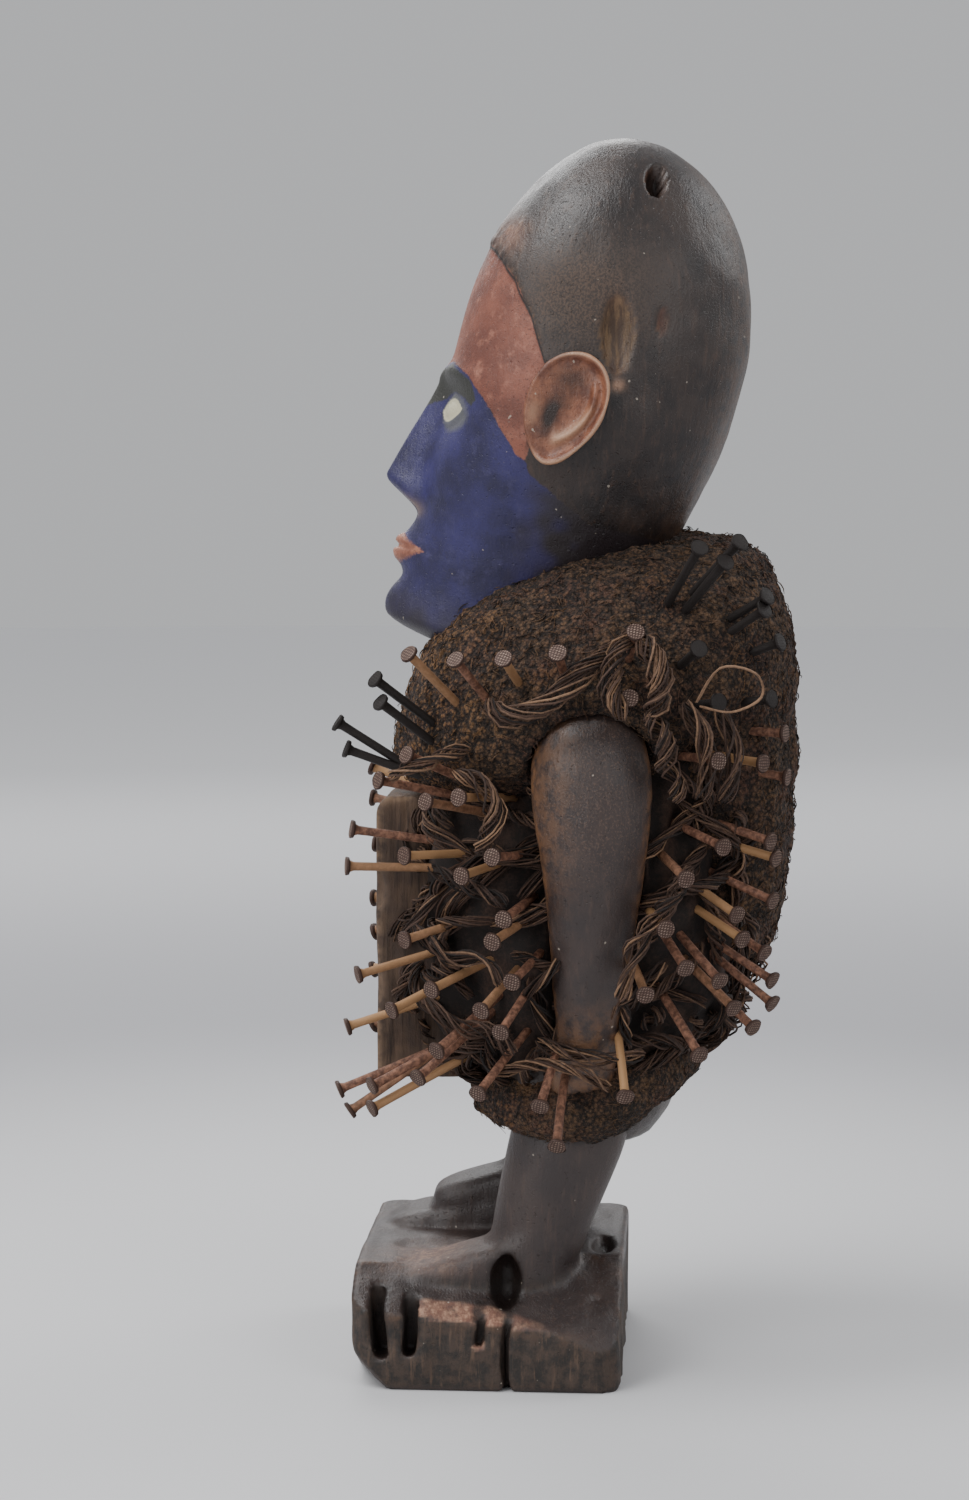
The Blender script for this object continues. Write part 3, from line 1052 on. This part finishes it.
OVER_LEFT_BACK = [
    hank([(76, 55, 275), (83, 60, 268), (85, 64, 256), (82, 60, 246)], 4.6, 18, 1.6, pale=0.12),
    hank([(76, 54, 274), (82, 48, 266), (84, 46, 254), (82, 52, 245)], 4.0, 16, 1.5, pale=0.15),
    hank([(82, 60, 247), (84, 64, 238), (80, 67, 226), (76, 70, 216)], 4.4, 18, 2.2, pale=0.06),
    hank([(74, 72, 250), (76, 78, 240), (74, 79, 228), (71, 78, 216)], 4.0, 14, 0.7),
    hank([(68, 84, 248), (71, 88, 238), (70, 88, 226), (66, 85, 215)], 3.8, 14, 0.6),
    hank([(76, 64, 176), (80, 58, 168), (80, 52, 158), (76, 50, 146)], 3.8, 14, 1.0, pale=0.06),
    hank([(72, 74, 192), (77, 70, 184), (77, 64, 176), (74, 60, 168)], 3.2, 12, 1.2),
    hank([(60, 20, 128), (64, 32, 124), (66, 46, 122), (62, 58, 124)], 3.2, 12, 1.0, pale=0.1),
    hank([(64, 4, 116), (66, 18, 120), (66, 34, 118), (64, 46, 112)], 2.6, 10, 1.6, pale=0.2),
    hank([(79, 76, 250), (85, 84, 262), (82, 96, 260), (78, 98, 252), (79, 88, 247), (80, 77, 249)], 0.9, 2, 0.3,
         0.42, 26, 0.75),
]
bundle_finishes = {
    "fibre_bundle_front_left": (1, -1, OVER_LEFT_FRONT),
    "fibre_bundle_front_right": (-1, -1, []),
    "fibre_bundle_back_left": (1, 1, OVER_LEFT_BACK),
    "fibre_bundle_back_right": (-1, 1, []),
}
for name, (side, end, more) in bundle_finishes.items():
    made = bundle(side, end, more)
    add_piece(name + "_hanks", *made[:2], yarn, made[2], [name], "fibre")

# The mantle: chopped fibre caked with earth, laid thickly over the shoulders as a collar and down
# the back as a cape, golden at its front edge and darker behind.
COLLAR = {"y": 39, "z": 243, "wide": 71, "front": 74, "back": 73, "high": 60, "low": 34, "slope": 0.2}
CAPE = {"y": 80, "z": 224, "wide": 46, "deep": 33, "half": 82}


def mantle_form(p):
    """How far each point lies outside the mantle"""
    x, y, z = p.T
    reach = np.where(y < COLLAR["y"], COLLAR["front"], COLLAR["back"])
    ring = (np.abs(x / COLLAR["wide"]) ** 2.3 + np.abs((y - COLLAR["y"]) / reach) ** 2.3) ** (1 / 2.3)
    rise = z - COLLAR["z"] - COLLAR["slope"] * (y - COLLAR["y"])
    rise = rise / np.where(rise > 0, COLLAR["high"], COLLAR["low"])
    collar = (np.sqrt(ring ** 2.5 + rise ** 2) - 1) * 52
    ring = (np.abs(x / CAPE["wide"]) ** 2.4 + np.abs((y - CAPE["y"]) / CAPE["deep"]) ** 2.4) ** (1 / 2.4)
    cape = (np.sqrt(ring ** 3.33 + ((z - CAPE["z"]) / CAPE["half"]) ** 2) - 1) * 32
    form = merged(collar, cape, 5)
    form = np.maximum(form, 1.0 - limb(p, ARM, 2.0, 1))
    form = np.maximum(form, 1.0 - limb(p, ARM, 2.0, -1))
    inner = np.maximum(np.hypot(x / 0.9, y - 36) - 34, z - 262)
    return np.maximum(form, -inner)


mantle_points, mantle_faces = skin(mantle_form, (-76, -42, 136), (76, 118, 312), 1.75)
mantle_normal = outward(mantle_points, mantle_faces)
tufts = crumbs(mantle_points, 2.4, 3)
folds = mottle(mantle_points, 14, 61)
ragged = mottle(mantle_points, 4.5, 62)
hem = bump(mantle_points[:, 2] - 232, 7) * smooth(mantle_points[:, 1], 90, 60)
mantle_points = mantle_points + mantle_normal * (1.3 * folds + 0.8 * ragged + 1.5 * tufts - 0.9 + hem)[:, None]
mantle_shade = np.clip(0.2 + 0.55 * tufts + 0.15 * ragged + 0.1 * folds, 0, 1)
chosen = lots.integers(0, len(mantle_points), 6200)
mantle_hair = bristles(mantle_points, mantle_normal, chosen, 4.2, 0.24, 0.8)


def mantle_gold(p):
    """The mantle is golden at its front edge and on the shoulder's crown"""
    front = smooth(p[:, 1], 15, -25)
    return np.clip(0.8 * front + 0.35 * smooth(mottle(p, 11, 63), 0, 0.6), 0, 1)


mantle = matted(mantle_points, mantle_faces, mantle_shade, mantle_hair, mantle_gold)
add_piece("fibre_mantle_worked", *mantle[:2], crust, mantle[2], ["fibre_mantle"], "fibre_crust")

# The nails: forged iron with round shanks and flat heads that the hammer left chequered, rusted
# brown. Each is driven through the fibre towards the middle of the trunk's side.
NAIL_ROWS = [
    (304, [77, 91], []),
    (285, [101], []),
    (267, [-25, -8, 9, 28, 77], [-6, 60]),
    (251, [-36, 103], []),
    (229, [-51, -26, 84, 100], [-34]),
    (215, [-19, -7], [96]),
    (201, [-49, 86, 103], []),
    (187, [-51, -6, 73], [-28]),
    (176, [9, 91], []),
    (164, [-27, 93], [88]),
    (150, [-46, -17, 104], []),
    (140, [1, 90], []),
    (128, [-51, -15, 78], []),
    (110, [-40, 52], [10]),
]
# Further nails on the left side, by the height and the distance from back to front of their heads
MORE_LEFT = [
    (299, 86), (282, 100), (275, 55), (270, 106), (257, -38), (252, 53), (250, 84), (240, -54),
    (237, 108), (221, -37), (221, 109), (196, 5), (193, 105), (195, -27), (178, 104), (171, 66),
    (166, 5), (160, 101), (157, 73), (152, 85), (152, 12), (148, 59), (141, 104), (139, -32),
    (134, 97), (134, 8), (116, -22), (112, 0), (108, 22), (105, -54), (102, -40), (97, -50), (94, 28),
]
MORE_RIGHT = [(z + 3 * math.sin(z), y) for z in range(100, 300, 17) for y in range(-50, 106, 26)]
nails = []
for z, left, right in NAIL_ROWS:
    for side, heads in ((1, left), (-1, right)):
        for y in heads:
            count = len(nails)
            name = "nail_%s_%02d" % ("left" if side > 0 else "right", count + 1)
            nails.append((side, y, z, 2 * math.sin(1.1 * count), 2.5 * math.cos(1.9 * count), name))
known = [(z + wave, y) for side, y, z, wave, stray, name in nails if side < 0]
for z, y in MORE_LEFT:
    nails.append((1, y, z, 0, lots.normal(0, 3), None))
for z, y in MORE_RIGHT:
    y = y + lots.normal(0, 4)
    if z > 262 - 0.3 * max(0, 60 - y) and y < 60:
        continue
    if min(math.hypot(z - a, y - b) for a, b in known) > 10 and not (z < 120 and y > 60):
        nails.append((-1, max(-50, y), z, 0, lots.normal(0, 3), None))


def nail_ends(side, y, z, wave, stray):
    """Where a nail's point and the top of its head lie"""
    reach = 91 if y < 38 else 75
    share = min(0.96, abs(y - 38) / reach)
    head = np.array([side * 83 * (1 - share ** 3) ** (1 / 3), y, z + wave])
    level = 215 + 0.3 * (y - 38)
    slope = 0.55 if z > level else 0.3
    tilt = math.radians(min(36, max(-36, slope * (z - level))) + stray)
    point = np.array([side * 27, 38 + 0.34 * (y - 38), 0])
    point[2] = head[2] - math.hypot(head[0] - point[0], head[1] - point[1]) * math.tan(tilt)
    return point, head


def nail_mesh(point, head, crooked):
    """A nail with a slightly bent shank and a chequered, uneven head"""
    along = head - point
    length = np.linalg.norm(along)
    along = along / length
    side = np.cross(along, (0.1, 0.2, 1))
    side /= np.linalg.norm(side)
    up = np.cross(along, side)
    stops = [length * 0.35, length * 0.55, length * 0.75, length * 0.9, length - 3.2, length - 1.9]
    widths = [1.55, 1.6, 1.6, 1.62, 1.7, 2.2]
    turn = np.linspace(0, 2 * np.pi, 8, endpoint=False)
    parts = []
    bend = crooked * np.sin(np.array(stops) / length * np.pi)
    rings = [
        point + along * stop + side * shift + width * (np.cos(turn)[:, None] * side + np.sin(turn)[:, None] * up)
        for stop, width, shift in zip(stops, widths, bend)
    ]
    parts.append((np.concatenate(rings), wrapped(len(rings), 8), np.zeros(48)))
    rim_turn = np.linspace(0, 2 * np.pi, 28, endpoint=False)
    uneven = 1 + 0.05 * np.sin(3 * rim_turn + crooked * 9) + 0.03 * np.sin(5 * rim_turn)
    rim = []
    for stop, width in ((length - 1.95, 1.9), (length - 1.7, 3.05), (length - 0.8, 3.35), (length - 0.3, 3.2)):
        ring = np.cos(rim_turn)[:, None] * side + np.sin(rim_turn)[:, None] * up
        rim.append(point + along * stop + (width * uneven)[:, None] * ring)
    parts.append((np.concatenate(rim), wrapped(4, 28), np.ones(112)))
    grid = np.linspace(-1, 1, 13)
    a, b = (part.ravel() for part in np.meshgrid(grid, grid, indexing="ij"))
    odd = (np.arange(13) % 2)
    peak = np.outer(odd, odd).ravel() * 0.34
    across = a * np.sqrt(1 - b * b / 2) * 3.2
    high = b * np.sqrt(1 - a * a / 2) * 3.2
    crown = -0.34 - 0.12 * (across ** 2 + high ** 2) / 10 + peak
    top = head + across[:, None] * side + high[:, None] * up + crown[:, None] * along
    i, j = (part.ravel() for part in np.meshgrid(np.arange(12), np.arange(12), indexing="ij"))
    squares = np.stack([i * 13 + j, (i + 1) * 13 + j, (i + 1) * 13 + j + 1, i * 13 + j + 1], 1)
    parts.append((top, squares, np.ones(169) + peak))
    return parts


iron, iron_shader = new_finish("rusted_iron", 0.62)
tint = add_node(iron, "Attribute", {}, "Fac", attribute_name="tint")
headness = add_node(iron, "Attribute", {}, "Fac", attribute_name="head")
rust = clouds(iron, 1.9, 4, 0.65, shift=2)
iron_tone = blend(iron, eased(iron, rust, 0.35, 0.68), colour(88, 58, 46), colour(150, 108, 86))
iron_tone = blend(iron, eased(iron, tint, 0.55, 0.95), iron_tone, colour(164, 126, 88))
head_tone = blend(iron, eased(iron, rust, 0.35, 0.65), colour(112, 88, 78), colour(160, 138, 124))
head_tone = blend(iron, eased(iron, headness, 1.28, 1.04), head_tone, colour(66, 46, 38))
iron_tone = blend(iron, eased(iron, headness, 0.4, 0.9), iron_tone, head_tone)
iron_tone = blend(iron, eased(iron, tint, 0.12, 0.02), iron_tone, colour(34, 28, 26))
join(iron, iron_tone, iron_shader, "Base Color")
iron_shader.inputs["Metallic"].default_value = 0.25
join(iron, sums(iron, "ADD", sums(iron, "MULTIPLY", rust, 0.35), 0.42), iron_shader, "Roughness")
join(iron, raised(iron, clouds(iron, 0.7, 3, 0.7, shift=6), 0.22), iron_shader, "Normal")

GROUPS = {
    "nails_left_front": lambda side, y: side > 0 and y < 38,
    "nails_left_back": lambda side, y: side > 0 and y >= 38,
    "nails_right": lambda side, y: side < 0,
}
for group, belongs in GROUPS.items():
    points, faces, tints, heads, names = [], [], [], [], []
    start = 0
    for side, y, z, wave, stray, name in nails:
        if not belongs(side, y):
            continue
        point, head = nail_ends(side, y, z, wave, stray)
        black = (z > 245 and y > 62) or (z > 225 and y < -34)
        shade_of_one = 0.0 if black else lots.uniform(0.2, 1)
        for made, squares, headness_of_part in nail_mesh(point, head, lots.normal(0, 0.7)):
            points.append(made)
            faces.append(squares + start)
            tints.append(np.full(len(made), shade_of_one))
            heads.append(headness_of_part)
            start += len(made)
        if name:
            names.append(name)
    marks = {"tint": np.concatenate(tints), "head": np.concatenate(heads)}
    add_piece(group, np.concatenate(points), np.concatenate(faces), iron, marks, names, "nail_iron")
